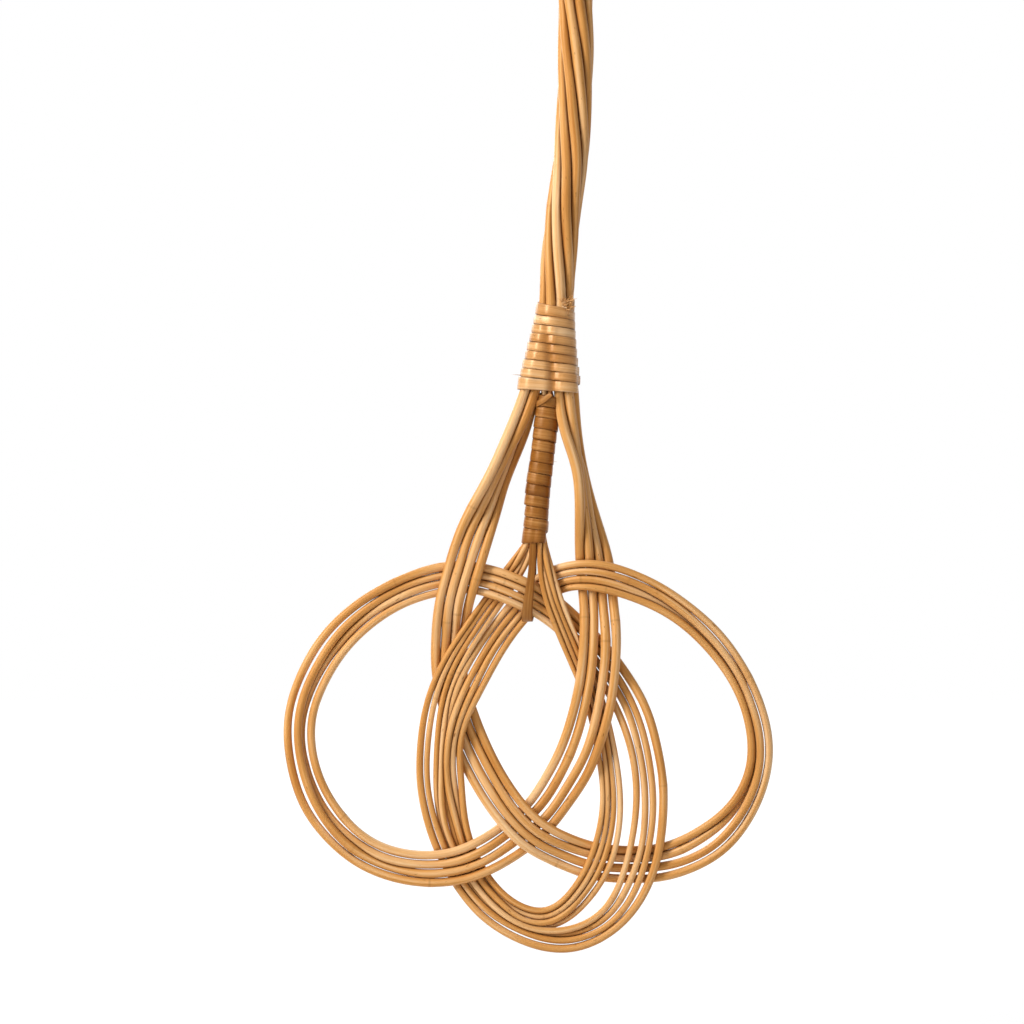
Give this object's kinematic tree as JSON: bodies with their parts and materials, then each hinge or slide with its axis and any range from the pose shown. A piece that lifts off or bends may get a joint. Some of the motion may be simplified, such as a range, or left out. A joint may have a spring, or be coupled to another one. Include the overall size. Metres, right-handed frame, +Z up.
{
  "type": "carpet beater",
  "caption": "Woven rattan carpet beater: tapering canes twisted into a handle and plaited into an open knotted head, bound with peeled strip.",
  "frame": {"origin": "middle of the sawn end of the handle, where the beater is held or hung", "axes": "+Z up along the handle, away from the head; the head lies in the XZ plane and its front faces -Y; +X to the right seen from the front"},
  "size_m": [0.2785, 0.0218, 0.7002],
  "materials": {
    "cane": "smooth rattan cane with its own bark, satin",
    "peel_strip": "peeled rattan strip, satin gloss",
    "dark_strip": "peeled rattan strip, browner, satin gloss"
  },
  "bodies": {
    "root": {"right_cane_1": "cane", "right_cane_2": "cane", "right_cane_3": "cane", "right_cane_4": "cane", "left_cane_1": "cane", "left_cane_2": "cane", "left_cane_3": "cane", "left_cane_4": "cane", "upper_binding": "peel_strip", "handle_end_binding": "peel_strip", "knot_tie": "peel_strip", "stem_binding": "dark_strip"}
  },
  "joints": []
}
